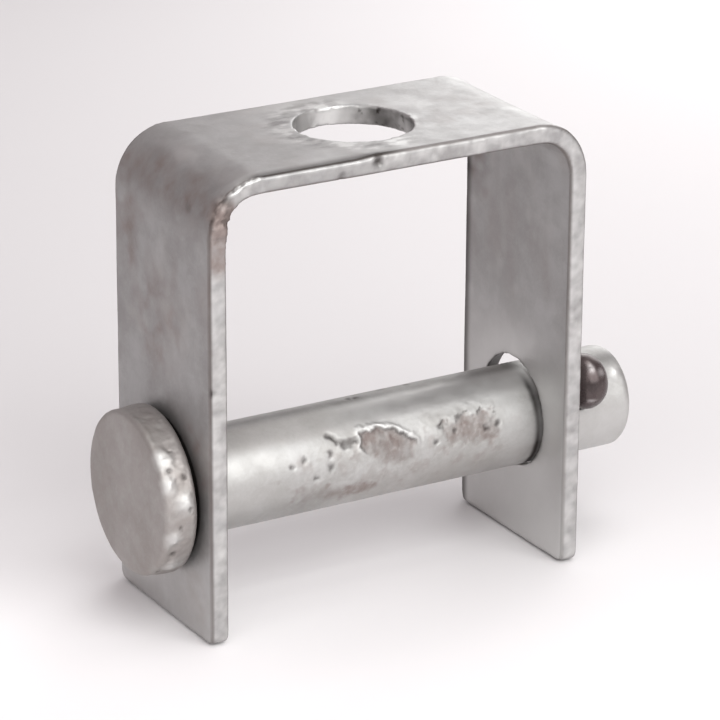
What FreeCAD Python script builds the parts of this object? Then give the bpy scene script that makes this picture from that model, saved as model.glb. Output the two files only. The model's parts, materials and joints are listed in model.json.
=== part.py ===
import FreeCAD, Part
import math
import os
import Sketcher

# Spool insulator clevis: a strap bent to a U from flat bar, a headed pin across its legs, and a
# split cotter through the pin's end. Millimetres. The origin is the centre of the bolt hole on
# the top face. +Z points up out of that face, X runs along the pin and Y across the bar.

doc = FreeCAD.newDocument("SpoolInsulatorClevis")
V = FreeCAD.Vector
UP = V(0, 0, 1)

# How a constraint names a sketch's origin, its axes and the points of a curve.
V_AXIS, H_AXIS = range(-2, 0)
START, END, CENTRE = range(1, 4)
ORIGIN = (H_AXIS, START)

# Tolerances of the checks: a match of two lengths, the spans in which an edge is looked at, and
# how far, as a share, a cut's volume may be from the one worked out for it.
NEAR = 0.001
EDGE_STEPS = 4
CUT_SLACK = 0.02

# Driving dimensions: name, value, meaning.
SIZES = [
    ("inner_width", 58, "clear width between the legs"),
    ("bar_width", 30, "width of the flat bar"),
    ("bar_thickness", 3, "thickness of the flat bar"),
    ("bend_radius", 6, "inside radius of the two bends"),
    ("bar_edge_break", 0.5, "eased edges of the rolled bar"),
    ("leg_corner_radius", 1.6, "rounded corners of the leg ends"),
    ("strap_height", 72.5, "top face to the leg ends"),
    ("pin_drop", 51.25, "top face to the centre of the leg holes"),
    ("bolt_diameter", 16, "bolt that holds the clevis"),
    ("bolt_hole_clearance", 2, "bolt hole over the bolt, on the diameter"),
    ("pin_diameter", 16, "shank of the clevis pin"),
    ("pin_hole_clearance", 2, "leg holes over the pin, on the diameter"),
    ("pin_rest_gap", 0.05, "air under the pin where it rests in the leg holes"),
    ("head_diameter", 26, "pin head at its underside"),
    ("head_taper", 0.4, "underside radius of the head less its face radius"),
    ("head_thickness", 5.5, "pin head along the pin"),
    ("head_rim_radius", 1.2, "rounding of the head's outer rim"),
    ("head_heel_break", 1, "eased inner rim of the head"),
    ("head_root_slope", 0.6, "slope between head and shank"),
    ("head_play", 1.4, "end float between head and leg"),
    ("pin_overhang", 14.6, "leg face to the end of the pin"),
    ("pin_end_radius", 1.3, "rounding of the end of the pin"),
    ("cotter_setback", 5.5, "leg face to the axis of the cross hole"),
    ("cotter_hole_clearance", 0.8, "cross hole over the cotter, on the diameter"),
    ("cross_hole_break", 0.4, "broken edges of the cross hole"),
    ("cotter_tilt", 50, "turn of the cross hole from upright, in degrees"),
    ("wire_width", 6, "width of the half-round wire of the cotter"),
    ("cotter_slit", 0.16, "gap between the two legs of the cotter"),
    ("eye_opening", 2.8, "width inside the eye of the cotter"),
    ("neck_crease", 0.5, "radius in the crease below the eye"),
    ("eye_seat_gap", 0.15, "eye to the mouth of the cross hole"),
    ("cotter_length", 38, "tip of the eye to the end of the long leg"),
    ("short_leg_step", 2.5, "long leg less short leg"),
]
sheet = doc.addObject("Spreadsheet::Sheet", "Sizes")
for row, (alias, value, meaning) in enumerate(SIZES, start=1):
    sheet.set(f"A{row}", meaning)
    sheet.set(f"B{row}", str(value))
    sheet.setAlias(f"B{row}", alias)
doc.recompute()

# What follows from them, as expressions over the sheet.
INNER_HALF = "(Sizes.inner_width / 2)"
OUTER_HALF = "(Sizes.inner_width / 2 + Sizes.bar_thickness)"
BOLT_HOLE = "(Sizes.bolt_diameter + Sizes.bolt_hole_clearance)"
LEG_HOLE = "(Sizes.pin_diameter + Sizes.pin_hole_clearance)"
PIN_AXIS_DROP = "(Sizes.pin_drop + Sizes.pin_hole_clearance / 2 - Sizes.pin_rest_gap)"
HEAD_SEAT = f"({OUTER_HALF} + Sizes.head_play)"
PIN_END = f"({OUTER_HALF} + Sizes.pin_overhang)"
CROSS_HOLE_AT = f"({OUTER_HALF} + Sizes.cotter_setback)"
CROSS_HOLE = "(Sizes.wire_width + Sizes.cotter_slit + Sizes.cotter_hole_clearance)"
EYE_RADIUS = "(Sizes.eye_opening / 2 + Sizes.wire_width / 2)"
MOUTH_HEIGHT = f"sqrt((Sizes.pin_diameter / 2) ^ 2 - ({CROSS_HOLE} / 2) ^ 2)"
EYE_CENTRE = f"({MOUTH_HEIGHT} + sqrt({EYE_RADIUS} ^ 2 - ({CROSS_HOLE} / 2) ^ 2) + Sizes.eye_seat_gap)"
LONG_LEG_END = f"(Sizes.cotter_length - {EYE_CENTRE} - {EYE_RADIUS})"
SHORT_LEG_END = f"(Sizes.cotter_length - Sizes.short_leg_step - {EYE_CENTRE} - {EYE_RADIUS})"
NECK_RADIUS = "(Sizes.wire_width / 2 + Sizes.neck_crease)"


def size(alias):
    return float(sheet.get(alias))


def value_of(expression):
    """The number that an expression over the sheet gives now."""
    return float(sheet.evalExpression(expression.replace("Sizes.", "")))


def new_body(label):
    body = doc.addObject("PartDesign::Body", label)
    body.Label = label
    return body


def new_sketch(body, role, name):
    """A sketch of the body's own, flat on one of its origin planes."""
    sketch = body.newObject("Sketcher::SketchObject", name)
    plane = [item for item in body.Origin.OriginFeatures if item.Role == role][0]
    sketch.AttachmentSupport = [(plane, "")]
    sketch.MapMode = "FlatFace"
    return sketch


def line(sketch, start, end):
    return sketch.addGeometry(Part.LineSegment(V(*start, 0), V(*end, 0)), False)


def arc(sketch, centre, radius, first, last):
    """A counter-clockwise arc, its angles in degrees."""
    circle = Part.Circle(V(*centre, 0), UP, radius)
    return sketch.addGeometry(
        Part.ArcOfCircle(circle, math.radians(first), math.radians(last)), False)


def rule(sketch, *terms):
    """A constraint without a value."""
    sketch.addConstraint(Sketcher.Constraint(*terms))


def bind(sketch, name, expression, *terms):
    """A constraint whose value follows the sheet."""
    index = sketch.addConstraint(Sketcher.Constraint(*terms, value_of(expression)))
    sketch.renameConstraint(index, name)
    sketch.setExpression(f"Constraints.{name}", expression)


def feature(body, kind, name, **settings):
    item = body.newObject(f"PartDesign::{kind}", name)
    for key, setting in settings.items():
        setattr(item, key, setting)
    return item


def dress(body, kind, name, base, edges, expression):
    """A fillet or chamfer on the named edges of a feature."""
    item = feature(body, kind, name, Base=(base, edges))
    item.setExpression("Radius" if kind == "Fillet" else "Size", expression)
    doc.recompute()
    return item


def edges_where(item, test):
    """Names of the edges whose sampled points all pass the test."""
    names = []
    for index, edge in enumerate(item.Shape.Edges, start=1):
        first, last = edge.ParameterRange
        points = [edge.valueAt(first + (last - first) * step / EDGE_STEPS) for step in range(EDGE_STEPS + 1)]
        if all(test(point) for point in points):
            names.append(f"Edge{index}")
    return names


def near(a, b):
    return abs(a - b) < NEAR


def cut_checked(item, before, wanted):
    """A cut has to take away about the volume that it is meant to."""
    doc.recompute()
    taken = before - item.Shape.Volume
    if abs(taken - wanted) > CUT_SLACK * wanted:
        raise ValueError(f"{item.Name} cuts {taken:.1f} mm3 in place of {wanted:.1f} mm3")


def clevis_strap():
    """Flat bar bent to a U, open downwards, with a bolt hole on top and a pin hole in each leg."""
    body = new_body("clevis_strap")
    inner, outer = value_of(INNER_HALF), value_of(OUTER_HALF)
    thick, drop = size("bar_thickness"), size("strap_height")
    r_in = size("bend_radius")
    r_out = r_in + thick
    bend_x = inner - r_in

    profile = new_sketch(body, "XZ_Plane", "StrapProfile")
    line(profile, (-outer, -drop), (-outer, -r_out))
    arc(profile, (-bend_x, -r_out), r_out, 90, 180)
    line(profile, (-bend_x, 0), (bend_x, 0))
    arc(profile, (bend_x, -r_out), r_out, 0, 90)
    line(profile, (outer, -r_out), (outer, -drop))
    line(profile, (outer, -drop), (inner, -drop))
    line(profile, (inner, -drop), (inner, -r_out))
    arc(profile, (bend_x, -r_out), r_in, 0, 90)
    line(profile, (bend_x, -thick), (-bend_x, -thick))
    arc(profile, (-bend_x, -r_out), r_in, 90, 180)
    line(profile, (-inner, -r_out), (-inner, -drop))
    line(profile, (-inner, -drop), (-outer, -drop))
    for a, b, point in ((0, 1, END), (1, 2, START), (2, 3, END), (3, 4, START)):
        rule(profile, "Tangent", a, point, b, point)
    for a, b in ((6, 7), (7, 8), (8, 9), (9, 10)):
        rule(profile, "Tangent", a, END, b, START)
    for a, b in ((4, 5), (5, 6), (10, 11), (11, 0)):
        rule(profile, "Coincident", a, END, b, START)
    for leg in (0, 4, 6, 10):
        rule(profile, "Vertical", leg)
    for flat in (2, 5, 11):
        rule(profile, "Horizontal", flat)
    rule(profile, "PointOnObject", 2, START, H_AXIS)
    rule(profile, "Coincident", 3, CENTRE, 7, CENTRE)
    rule(profile, "Coincident", 1, CENTRE, 9, CENTRE)
    rule(profile, "Symmetric", 5, END, 10, END, V_AXIS)
    rule(profile, "Equal", 5, 11)
    rule(profile, "Equal", 7, 9)
    bind(profile, "inner_width", "Sizes.inner_width", "DistanceX", 10, END, 5, END)
    bind(profile, "thickness", "Sizes.bar_thickness", "DistanceX", 5, END, 5, START)
    bind(profile, "strap_height", "Sizes.strap_height", "DistanceY", 5, END, *ORIGIN)
    bind(profile, "bend", "Sizes.bend_radius", "Radius", 7)
    strap = feature(body, "Pad", "StrapPad", Profile=profile, SideType="Symmetric")
    strap.setExpression("Length", "Sizes.bar_width")
    doc.recompute()

    before = strap.Shape.Volume
    bolt = new_sketch(body, "XY_Plane", "BoltHoleSketch")
    bolt.addGeometry(Part.Circle(V(0, 0, 0), UP, value_of(BOLT_HOLE) / 2), False)
    rule(bolt, "Coincident", 0, CENTRE, *ORIGIN)
    bind(bolt, "bolt_hole", BOLT_HOLE, "Diameter", 0)
    bolt_hole = feature(body, "Pocket", "BoltHole", Profile=bolt, Type="ThroughAll")
    cut_checked(bolt_hole, before, math.pi / 4 * value_of(BOLT_HOLE) ** 2 * thick)

    before = bolt_hole.Shape.Volume
    legs = new_sketch(body, "YZ_Plane", "LegHoleSketch")
    legs.addGeometry(Part.Circle(V(0, -size("pin_drop"), 0), UP, value_of(LEG_HOLE) / 2), False)
    rule(legs, "PointOnObject", 0, CENTRE, V_AXIS)
    bind(legs, "pin_drop", "Sizes.pin_drop", "DistanceY", 0, CENTRE, *ORIGIN)
    bind(legs, "leg_hole", LEG_HOLE, "Diameter", 0)
    leg_holes = feature(body, "Pocket", "LegHoles", Profile=legs, Type="ThroughAll", SideType="Symmetric")
    cut_checked(leg_holes, before, 2 * math.pi / 4 * value_of(LEG_HOLE) ** 2 * thick)

    side = size("bar_width") / 2
    corners = edges_where(leg_holes, lambda p: near(abs(p.y), side) and near(p.z, -drop))
    rounded = dress(body, "Fillet", "LegCorners", leg_holes, corners, "Sizes.leg_corner_radius")
    rims = edges_where(rounded, lambda p: near(abs(p.y), side))
    dress(body, "Chamfer", "EasedEdges", rounded, rims, "Sizes.bar_edge_break")
    return body


def clevis_pin():
    """Round pin with an upset head, a rounded end and a cross hole; its local Z is the cross hole."""
    body = new_body("clevis_pin")
    seat, tip = value_of(HEAD_SEAT), value_of(PIN_END)
    face = seat + size("head_thickness")
    r_pin, r_head = size("pin_diameter") / 2, size("head_diameter") / 2
    r_face = r_head - size("head_taper")

    profile = new_sketch(body, "XZ_Plane", "PinProfile")
    corners = [(-face, 0), (-face, r_face), (-seat, r_head), (-seat, r_pin), (tip, r_pin), (tip, 0)]
    for index, corner in enumerate(corners):
        line(profile, corner, corners[(index + 1) % len(corners)])
        if index:
            rule(profile, "Coincident", index - 1, END, index, START)
    rule(profile, "Coincident", 5, END, 0, START)
    for index in (0, 2, 4):
        rule(profile, "Vertical", index)
    rule(profile, "Horizontal", 3)
    rule(profile, "PointOnObject", 0, START, H_AXIS)
    rule(profile, "PointOnObject", 4, END, H_AXIS)
    bind(profile, "head_seat", HEAD_SEAT, "DistanceX", 2, START, *ORIGIN)
    bind(profile, "head_thickness", "Sizes.head_thickness", "DistanceX", 1, START, 1, END)
    bind(profile, "head_taper", "Sizes.head_taper", "DistanceY", 1, START, 1, END)
    bind(profile, "head_radius", "Sizes.head_diameter / 2", "DistanceY", *ORIGIN, 1, END)
    bind(profile, "pin_radius", "Sizes.pin_diameter / 2", "DistanceY", *ORIGIN, 3, START)
    bind(profile, "pin_end", PIN_END, "DistanceX", *ORIGIN, 4, START)
    turned = feature(body, "Revolution", "PinTurned", Profile=profile,
                     ReferenceAxis=(profile, ["H_Axis"]), Angle=360)
    doc.recompute()

    def ring(item, x, radius):
        return edges_where(item, lambda p: near(p.x, x) and near(math.hypot(p.y, p.z), radius))

    rim = dress(body, "Fillet", "HeadRim", turned, ring(turned, -face, r_face), "Sizes.head_rim_radius")
    heel = dress(body, "Chamfer", "HeadHeel", rim, ring(rim, -seat, r_head), "Sizes.head_heel_break")
    root = dress(body, "Chamfer", "HeadRoot", heel, ring(heel, -seat, r_pin), "Sizes.head_root_slope")
    end = dress(body, "Fillet", "PinEnd", root, ring(root, tip, r_pin), "Sizes.pin_end_radius")

    before = end.Shape.Volume
    cross_x, r_hole = value_of(CROSS_HOLE_AT), value_of(CROSS_HOLE) / 2
    cross = new_sketch(body, "XY_Plane", "CrossHoleSketch")
    cross.addGeometry(Part.Circle(V(cross_x, 0, 0), UP, r_hole), False)
    rule(cross, "PointOnObject", 0, CENTRE, H_AXIS)
    bind(cross, "cross_hole_at", CROSS_HOLE_AT, "DistanceX", *ORIGIN, 0, CENTRE)
    bind(cross, "cross_hole", CROSS_HOLE, "Diameter", 0)
    cross_hole = feature(body, "Pocket", "CrossHole", Profile=cross, Type="ThroughAll", SideType="Symmetric")
    mean_depth = math.sqrt(r_pin ** 2 - (r_hole / 2) ** 2) * 2
    cut_checked(cross_hole, before, math.pi * r_hole ** 2 * mean_depth)

    mouths = edges_where(cross_hole, lambda p: near(math.hypot(p.y, p.z), r_pin)
                         and near(math.hypot(p.x - cross_x, p.y), r_hole))
    dress(body, "Chamfer", "CrossHoleBreak", cross_hole, mouths, "Sizes.cross_hole_break")
    body.Placement = FreeCAD.Placement(V(0, 0, 0), FreeCAD.Rotation(V(1, 0, 0), size("cotter_tilt")))
    body.setExpression("Placement.Base.z", f"-{PIN_AXIS_DROP}")
    body.setExpression("Placement.Rotation.Angle", "Sizes.cotter_tilt")
    return body


def cotter_pin():
    """Split cotter of half-round wire; its local Z runs along its legs towards the eye."""
    body = new_body("cotter_pin")
    half_slit, r_wire = size("cotter_slit") / 2, size("wire_width") / 2
    r_eye, r_neck = size("eye_opening") / 2, value_of(NECK_RADIUS)
    eye_z, long_z, short_z = value_of(EYE_CENTRE), -value_of(LONG_LEG_END), -value_of(SHORT_LEG_END)
    neck_x = half_slit + r_neck
    rise = math.sqrt((r_eye + r_neck) ** 2 - neck_x ** 2)
    neck_z = eye_z - rise
    lean = math.degrees(math.atan2(rise, neck_x))

    path = new_sketch(body, "YZ_Plane", "WirePath")
    line(path, (-half_slit, long_z), (-half_slit, neck_z))
    arc(path, (-neck_x, neck_z), r_neck, 0, lean)
    arc(path, (0, eye_z), r_eye, -lean, 180 + lean)
    arc(path, (neck_x, neck_z), r_neck, 180 - lean, 180)
    line(path, (half_slit, neck_z), (half_slit, short_z))
    rule(path, "Tangent", 0, END, 1, START)
    rule(path, "Tangent", 1, END, 2, END)
    rule(path, "Tangent", 2, START, 3, START)
    rule(path, "Tangent", 3, END, 4, START)
    rule(path, "Vertical", 0)
    rule(path, "Vertical", 4)
    rule(path, "PointOnObject", 2, CENTRE, V_AXIS)
    rule(path, "Symmetric", 0, END, 4, START, V_AXIS)
    bind(path, "slit", "Sizes.cotter_slit", "DistanceX", 0, END, 4, START)
    bind(path, "neck", NECK_RADIUS, "Radius", 1)
    bind(path, "eye", "Sizes.eye_opening / 2", "Radius", 2)
    bind(path, "eye_centre", EYE_CENTRE, "DistanceY", *ORIGIN, 2, CENTRE)
    bind(path, "long_leg", LONG_LEG_END, "DistanceY", 0, START, *ORIGIN)
    bind(path, "short_leg", SHORT_LEG_END, "DistanceY", 4, END, *ORIGIN)

    wire = new_sketch(body, "XY_Plane", "WireSection")
    wire.AttachmentOffset = FreeCAD.Placement(V(0, 0, long_z), FreeCAD.Rotation())
    wire.setExpression("AttachmentOffset.Base.z", f"-{LONG_LEG_END}")
    arc(wire, (0, -half_slit), r_wire, 180, 270)
    arc(wire, (0, -half_slit), r_wire, 270, 360)
    line(wire, (r_wire, -half_slit), (-r_wire, -half_slit))
    for a, b in ((0, 1), (1, 2), (2, 0)):
        rule(wire, "Coincident", a, END, b, START)
    rule(wire, "Coincident", 0, CENTRE, 1, CENTRE)
    rule(wire, "Horizontal", 2)
    rule(wire, "PointOnObject", 0, END, V_AXIS)
    rule(wire, "PointOnObject", 0, CENTRE, V_AXIS)
    rule(wire, "PointOnObject", 0, CENTRE, 2)
    bind(wire, "half_slit", "Sizes.cotter_slit / 2", "DistanceY", 0, CENTRE, *ORIGIN)
    bind(wire, "wire_radius", "Sizes.wire_width / 2", "Radius", 0)
    doc.recompute()
    feature(body, "AdditivePipe", "BentWire", Profile=wire, Spine=(path, []),
            Mode="Binormal", Binormal=V(1, 0, 0))
    body.Placement = FreeCAD.Placement(V(0, 0, 0), FreeCAD.Rotation(V(1, 0, 0), size("cotter_tilt")))
    body.setExpression("Placement.Base.x", CROSS_HOLE_AT)
    body.setExpression("Placement.Base.z", f"-{PIN_AXIS_DROP}")
    body.setExpression("Placement.Rotation.Angle", "Sizes.cotter_tilt")
    doc.recompute()
    return body


pieces = [clevis_strap(), clevis_pin(), cotter_pin()]
doc.recompute()

for item in doc.Objects:
    if {"Invalid", "Error"} & set(item.State):
        raise ValueError(f"{item.Name} failed: {item.State}")
    if item.TypeId == "Sketcher::SketchObject" and not item.FullyConstrained:
        raise ValueError(f"{item.Name} is not fully constrained")
for piece in pieces:
    if piece.Shape.isNull() or not piece.Shape.isValid() or len(piece.Shape.Solids) != 1:
        raise ValueError(f"{piece.Label} is not one valid solid")

os.makedirs("parts", exist_ok=True)
for piece in pieces:
    piece.Shape.exportStep(f"parts/{piece.Label}.step")
    box = piece.Shape.BoundBox
    print(f"{piece.Label}: {piece.Shape.Volume:.1f} mm3, X {box.XMin:.2f} to {box.XMax:.2f}, "
          f"Y {box.YMin:.2f} to {box.YMax:.2f}, Z {box.ZMin:.2f} to {box.ZMax:.2f}")
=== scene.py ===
import json
import math

import bpy
import numpy as np
from mathutils import Matrix, Vector, noise


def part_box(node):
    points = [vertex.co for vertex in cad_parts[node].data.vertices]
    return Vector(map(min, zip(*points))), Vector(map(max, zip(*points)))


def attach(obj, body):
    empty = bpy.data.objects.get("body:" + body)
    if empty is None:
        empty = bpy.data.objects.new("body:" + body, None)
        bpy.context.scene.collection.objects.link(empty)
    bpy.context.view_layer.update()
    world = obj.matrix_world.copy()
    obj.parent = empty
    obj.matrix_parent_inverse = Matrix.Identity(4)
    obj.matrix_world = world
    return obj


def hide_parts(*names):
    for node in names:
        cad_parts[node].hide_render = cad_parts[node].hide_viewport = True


# Spool insulator clevis: zinc-coated strap and pin and a dark split cotter, dressed round the
# frame. Shapes are worked out in millimetres and turned into metres when a mesh is finished.

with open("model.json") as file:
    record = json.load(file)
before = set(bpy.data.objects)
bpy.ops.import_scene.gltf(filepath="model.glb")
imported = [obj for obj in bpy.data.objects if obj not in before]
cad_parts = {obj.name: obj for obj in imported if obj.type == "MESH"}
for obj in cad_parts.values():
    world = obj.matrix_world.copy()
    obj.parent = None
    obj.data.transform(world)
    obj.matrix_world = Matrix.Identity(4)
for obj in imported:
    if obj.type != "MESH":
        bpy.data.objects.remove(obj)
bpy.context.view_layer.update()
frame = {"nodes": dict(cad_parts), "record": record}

MM = 0.001
record = frame["record"]
mounts = {mount["name"]: mount for mount in record["mounts"]}
joints = {joint["name"]: joint for joint in record["behaviour"]["joints"]}


def box_mm(node):
    low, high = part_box(node)
    return low / MM, high / MM


strap_low, strap_high = box_mm("clevis_strap")
pin_low, pin_high = box_mm("clevis_pin")
cotter_low, cotter_high = box_mm("cotter_pin")

# Strap, from the frame.
OUTER_HALF = strap_high.x
BAR_HALF = strap_high.y
LEG_END = strap_low.z
BAR_THICK = mounts["bolt_hole"]["dims"]["length_mm"]
BOLT_RADIUS = mounts["bolt_hole"]["dims"]["r_mm"]
INNER_HALF = mounts["spool_seat"]["dims"]["length_mm"] / 2

# Pin, from the frame.
PIN_RADIUS = mounts["spool_seat"]["dims"]["r_mm"]
PIN_AXIS = mounts["spool_seat"]["pos_m"][2] / MM
HEAD_FACE = pin_low.x
PIN_END = pin_high.x

# Cotter, from the frame.
COTTER_AT = (cotter_low.x + cotter_high.x) / 2
WIRE_RADIUS = (cotter_high.x - cotter_low.x) / 2
COTTER_AXIS = Vector(joints["cotter_slide"]["axis"])
COTTER_TILT = math.atan2(-COTTER_AXIS.y, COTTER_AXIS.z)
COTTER_ACROSS = Vector((0, math.cos(COTTER_TILT), math.sin(COTTER_TILT)))
COTTER_MIDDLE = Vector((COTTER_AT, 0, PIN_AXIS))

# Strap sizes that the frame doesn't state. Flare is how far a bend draws the bar's edges in.
BEND_RADIUS = 6.0
BEND_X = INNER_HALF - BEND_RADIUS
BEND_Z = -BEND_RADIUS - BAR_THICK
BAR_EDGE = 0.75
LEG_CORNER = 1.8
LEG_END_EDGE = 0.6
LEG_HOLE_RADIUS = PIN_RADIUS + 0.8
LEG_HOLE_DROP = PIN_AXIS + 0.7
LEG_HOLE_SIDE = 0.1
LEG_HOLE_TAPER = 0.6
LEFT_SPREAD = 0.5
RIGHT_SPREAD = 0.3
FLARE = 0.35
FLARE_LIFT = 0.3
FLARE_WIDTH = 6.0

# Pin sizes that the frame doesn't state.
HEAD_THICK = 5.5
HEAD_SEAT = HEAD_FACE + HEAD_THICK
HEAD_RADIUS = 13.0
HEAD_TAPER = 0.3
HEAD_RIM = 0.9
HEAD_HEEL = 1.2
HEAD_CROWN = 0.15
HEAD_FILLET = 0.6
HEAD_OFF_CENTRE = 0.6
END_ROUNDING = 1.1
END_LEAN = 0.3
SHANK_END = PIN_END - END_ROUNDING - 0.5
CROSS_HOLE_RADIUS = 3.55
CROSS_HOLE_REACH = 20

# Cotter sizes that the frame doesn't state. The wire's middle is that of a half disc.
COTTER_SLIT = 0.16
EYE_OPENING = 2.8
NECK_CREASE = 0.5
SHORT_LEG_STEP = 2.5
WIRE_EDGE = 0.35
WIRE_END = 0.6
WIRE_MIDDLE = WIRE_RADIUS * 0.42

# Fineness of the meshes.
STRAP_STEP = 0.5
STRAP_VOXEL = 0.33
SHANK_STEP = 0.6
PIN_VOXEL = 0.24
PIN_SIDES = 160
POLE_RADIUS = 0.3
CUTTER_SIDES = 128
COTTER_STEP = 0.3
EASE_FACTOR = 0.5
EASE_STEPS = 2


# Meshes.

def new_object(name, mesh):
    obj = bpy.data.objects.new(name, mesh)
    bpy.context.scene.collection.objects.link(obj)
    return obj


def full_turn(count):
    """The angles of a number of even steps round a circle."""
    return [2 * math.pi * step / count for step in range(count)]


def tube(name, rings):
    """A closed mesh through rings of points, its two end rings filled."""
    rings = np.asarray(rings, float)
    count, around = rings.shape[:2]
    quads = []
    for ring in range(count - 1):
        for step in range(around):
            following = (step + 1) % around
            quads.append((ring * around + step, ring * around + following,
                          (ring + 1) * around + following, (ring + 1) * around + step))
    first = tuple(reversed(range(around)))
    last = tuple(range((count - 1) * around, count * around))
    mesh = bpy.data.meshes.new(name)
    mesh.from_pydata(rings.reshape(-1, 3).tolist(), [], quads + [first, last])
    mesh.update()
    return mesh


def cylinder(name, start, end, radius):
    """A closed round cutter between two points."""
    start, end = Vector(start), Vector(end)
    turn = (end - start).to_track_quat("Z", "Y").to_matrix()
    rim = [Vector((radius * math.cos(a), radius * math.sin(a), 0)) for a in full_turn(CUTTER_SIDES)]
    return tube(name, [[tuple(centre + turn @ point) for point in rim] for centre in (start, end)])


def leg_hole_cutter():
    """A closed round cutter through both legs, wider outside, where the punch broke through."""
    wide = LEG_HOLE_RADIUS + LEG_HOLE_TAPER
    stations = [(-2 * OUTER_HALF, wide), (-OUTER_HALF, wide), (-INNER_HALF, LEG_HOLE_RADIUS),
                (INNER_HALF, LEG_HOLE_RADIUS), (OUTER_HALF, wide), (2 * OUTER_HALF, wide)]
    turns = full_turn(CUTTER_SIDES)
    return tube("leg_holes", [[(x, LEG_HOLE_SIDE + r * math.cos(t), LEG_HOLE_DROP + r * math.sin(t))
                               for t in turns] for x, r in stations])


def carved(name, mesh, cutters, voxel):
    """The mesh with the cutters taken out, remeshed in even quads and eased."""
    body = new_object(name + "_base", mesh)
    tools = []
    for index, cutter in enumerate(cutters):
        tool = new_object(f"{name}_cutter{index}", cutter)
        tools.append(tool)
        cut = body.modifiers.new(f"Cut{index}", "BOOLEAN")
        cut.operation = "DIFFERENCE"
        cut.solver = "EXACT"
        cut.object = tool
    even = body.modifiers.new("Even", "REMESH")
    even.mode = "VOXEL"
    even.voxel_size = voxel
    ease = body.modifiers.new("Ease", "SMOOTH")
    ease.factor = EASE_FACTOR
    ease.iterations = EASE_STEPS
    bpy.context.view_layer.update()
    graph = bpy.context.evaluated_depsgraph_get()
    result = bpy.data.meshes.new_from_object(body.evaluated_get(graph))
    for item in [body, *tools]:
        bpy.data.objects.remove(item)
    return result


def points_and_normals(mesh):
    """Two arrays with one row a vertex."""
    arrays = []
    for items, key in ((mesh.vertices, "co"), (mesh.vertex_normals, "vector")):
        flat = np.empty(len(items) * 3, np.float32)
        items.foreach_get(key, flat)
        arrays.append(flat.reshape(-1, 3).astype(float))
    return arrays


def move_points(mesh, points):
    mesh.vertices.foreach_set("co", points.astype(np.float32).ravel())
    mesh.update()


def finish_piece(name, mesh, material, body, node):
    """The mesh in metres as a smooth piece that stands for a CAD node and rides on its body."""
    mesh.transform(Matrix.Scale(MM, 4))
    mesh.materials.clear()
    mesh.materials.append(material)
    mesh.polygons.foreach_set("use_smooth", [True] * len(mesh.polygons))
    mesh.update()
    piece = new_object(name, mesh)
    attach(piece, body)
    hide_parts(node)


# Relief.

# Noise: how far a seed shifts it, and how much each octave of it falls off and shrinks.
SEED_SHIFT = (17.3, 5.1, 9.7)
OCTAVE_FALL = 1.0
OCTAVE_STEP = 2.0

# How squarely a face has to lie for it to count as facing one way.
FACING = (0.5, 0.9)


def lumps(points, scale, octaves, seed):
    """Fractal noise at each point, about -1 to 1, with its largest lumps about scale across."""
    shift = Vector([seed * along for along in SEED_SHIFT])
    return np.array([noise.fractal(Vector(p) / scale + shift, OCTAVE_FALL, OCTAVE_STEP, octaves)
                     for p in points])


def ramp(value, low, high):
    """0 below low, 1 above high and a smooth step between them."""
    t = np.clip((value - low) / (high - low), 0, 1)
    return t * t * (3 - 2 * t)


def blob(points, centre, reach):
    """1 at the centre and 0 from reach outwards, where reach is one radius or one a direction."""
    gap = np.linalg.norm((points - np.asarray(centre, float)) / reach, axis=1)
    return 1 - ramp(gap, 0, 1)


def ruffled(points, scale, reach, seed):
    """The points pushed about, so that what is drawn on them gets a ragged edge."""
    pushes = [lumps(points, scale, 2, seed + axis) for axis in range(3)]
    return points + reach * np.stack(pushes, axis=1)


def ridge(distance, width):
    """1 where the distance is 0, falling to nearly 0 about a width away."""
    return np.exp(-(distance / width) ** 2)


def wall(normals, axis):
    """1 where a face runs along an axis, as the wall of a hole does."""
    return 1 - ramp(np.abs(normals[:, axis]), 0.3, 0.7)


def rounding(radius, to_end):
    """How far an edge of some radius has drawn in at a distance from the end."""
    return radius - math.sqrt(max(0, radius ** 2 - max(0, radius - to_end) ** 2))


def marked(mesh, **marks):
    """Keeps each mark, 0 to 1 at every point, on the mesh for the material to read."""
    for name, value in marks.items():
        layer = mesh.attributes.new(name, "FLOAT", "POINT")
        layer.data.foreach_set("value", np.clip(value, 0, 1).astype(np.float32))
    return mesh


# Strap.

def bar_section(half_width, half_thick, radius, along=40, corner=6):
    """Points (across, outwards) round the rounded section of the bar."""
    points = []
    flat = half_width - radius
    for side in (1, -1):
        for step in range(along):
            points.append((side * (flat - 2 * flat * step / along), side * half_thick))
        for step in range(2 * corner):
            turn = math.pi * step / (2 * corner)
            centre_out = half_thick - radius if step < corner else radius - half_thick
            points.append((-side * (flat + radius * math.sin(turn)),
                           side * (centre_out + radius * math.cos(turn))))
    return points


def strap_path():
    """Places along the bar's middle: (x, z), outward direction and how far into a bend, 0 to 1."""
    middle = INNER_HALF + BAR_THICK / 2
    turn_radius = BEND_RADIUS + BAR_THICK / 2
    leg = [((-middle, z), (-1, 0), 0) for z in np.arange(LEG_END, BEND_Z, STRAP_STEP)]
    turns = np.linspace(math.pi, math.pi / 2, int(turn_radius * math.pi / 2 / STRAP_STEP))
    bend = [((-BEND_X + turn_radius * math.cos(t), BEND_Z + turn_radius * math.sin(t)),
             (math.cos(t), math.sin(t)), math.sin(2 * t) ** 2) for t in turns]
    top = [((x, -BAR_THICK / 2), (0, 1), 0) for x in np.arange(-BEND_X + STRAP_STEP, BEND_X, STRAP_STEP)]
    right = [((-x, z), (-u, w), share) for (x, z), (u, w), share in reversed(leg + bend)]
    return leg + bend + top + right


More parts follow.
